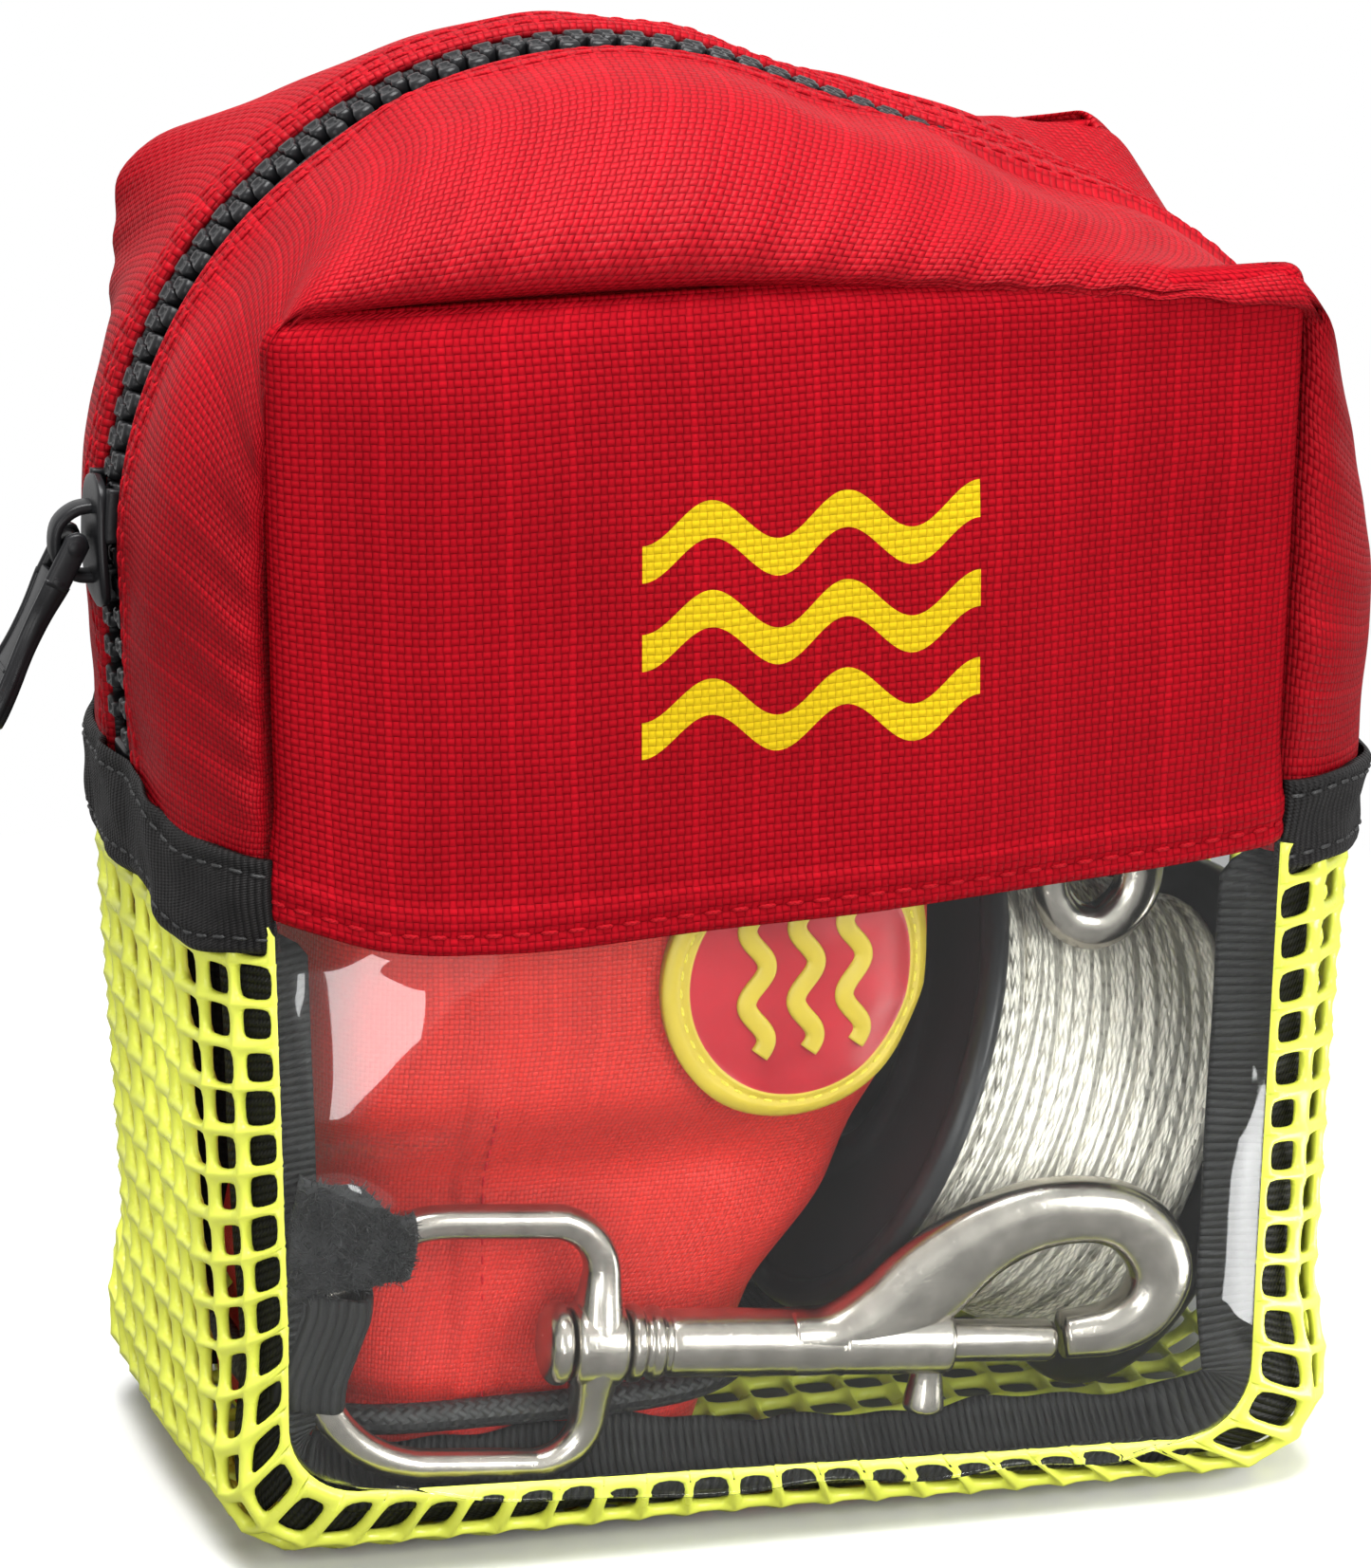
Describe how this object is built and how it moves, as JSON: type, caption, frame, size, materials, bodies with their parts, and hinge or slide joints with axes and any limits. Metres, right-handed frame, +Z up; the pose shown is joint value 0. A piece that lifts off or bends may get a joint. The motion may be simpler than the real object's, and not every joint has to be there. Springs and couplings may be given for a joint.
{
  "type": "zipped kit pouch",
  "caption": "Zipped red nylon kit pouch with a clear front window and yellow mesh foot, holding a rolled marker buoy, a finger spool of line and bolt snaps",
  "frame": {"origin": "middle of the mesh floor, on the ground", "axes": "+Z up, front window faces -Y, zip slider on the -X side"},
  "size_m": [0.1735, 0.0912, 0.1836],
  "materials": {
    "red_nylon": "plain woven nylon, matt",
    "clear_pvc": "clear flexible film, glossy",
    "black_grosgrain": "ribbed tape, matt",
    "yellow_mesh": "coated mesh, glossy",
    "zip_tape": "woven tape, matt",
    "zip_plastic": "moulded acetal, half gloss",
    "steel": "cast stainless steel, polished",
    "spring_steel": "drawn wire",
    "webbing": "ribbed webbing, matt",
    "hook_loop": "looped pile, matt",
    "buoy_nylon": "coated nylon, satin",
    "soft_pvc": "soft moulded patch, satin",
    "elastic": "braided elastic, matt",
    "spool_plastic": "turned acetal, satin",
    "line": "braided line, satin"
  },
  "bodies": {
    "pouch": {"front_panel": "red_nylon", "window": "clear_pvc", "back_panel": "red_nylon", "gusset_front": "red_nylon", "gusset_back": "red_nylon", "binding_left": "black_grosgrain", "binding_right": "black_grosgrain", "mesh_left": "yellow_mesh", "mesh_floor": "yellow_mesh", "mesh_right": "yellow_mesh", "seam_tape_front": "black_grosgrain", "seam_tape_back": "black_grosgrain", "zip_tape_front": "zip_tape", "zip_tape_back": "zip_tape", "teeth_front": "zip_plastic", "teeth_back": "zip_plastic", "zip_stop_left": "zip_plastic", "zip_stop_right": "zip_plastic", "snap_eye": "steel", "strap_loop": "webbing", "strap_tab": "hook_loop", "buoy_roll": "buoy_nylon", "buoy_badge": "soft_pvc", "elastic_cord": "elastic", "double_body": "steel", "double_spring_upper": "spring_steel", "double_spring_lower": "spring_steel"},
    "slider": {"slider": "zip_plastic"},
    "pull": {"pull_tab": "zip_plastic"},
    "snap": {"snap_body": "steel", "snap_spring": "spring_steel"},
    "gate": {"snap_gate": "steel"},
    "spool": {"spool": "spool_plastic", "line_pack": "line"},
    "double_gate_upper": {"double_gate_upper": "steel"},
    "double_gate_lower": {"double_gate_lower": "steel"}
  },
  "joints": [
    {"name": "zip_travel", "type": "hinge", "parent": "pouch", "child": "slider", "pos_m": [-0.01631, 0, 0.12464], "axis": [0, 1, 0], "range_deg": [-2, 85], "deforming": ["teeth_front", "teeth_back"]},
    {"name": "pull_swing", "type": "hinge", "parent": "slider", "child": "pull", "pos_m": [-0.07971, 0, 0.12361], "axis": [0, 1, 0], "range_deg": [-30, 110]},
    {"name": "snap_swivel", "type": "hinge", "parent": "pouch", "child": "snap", "pos_m": [-0.022, -0.0344, 0.0262], "axis": [0.9962, 0, -0.0872], "range_deg": [-3, 5.5]},
    {"name": "snap_gate", "type": "slide", "parent": "snap", "child": "gate", "axis": [-0.9962, 0, 0.0872], "range_m": [0, 0.009], "stiffness_N_per_m": 300, "springref_m": -0.005, "deforming": ["snap_spring"]},
    {"name": "spool_spin", "type": "hinge", "parent": "pouch", "child": "spool", "pos_m": [0.041, 0.0016, 0.04254], "axis": [0.9282, 0.0649, -0.3665], "continuous": true},
    {"name": "double_upper_slide", "type": "slide", "parent": "pouch", "child": "double_gate_upper", "axis": [0, 0, -1], "range_m": [0, 0.0065], "stiffness_N_per_m": 250, "springref_m": -0.004, "deforming": ["double_spring_upper"]},
    {"name": "double_lower_slide", "type": "slide", "parent": "pouch", "child": "double_gate_lower", "axis": [0, 0, 1], "range_m": [0, 0.0065], "stiffness_N_per_m": 250, "springref_m": -0.004, "deforming": ["double_spring_lower"]}
  ]
}
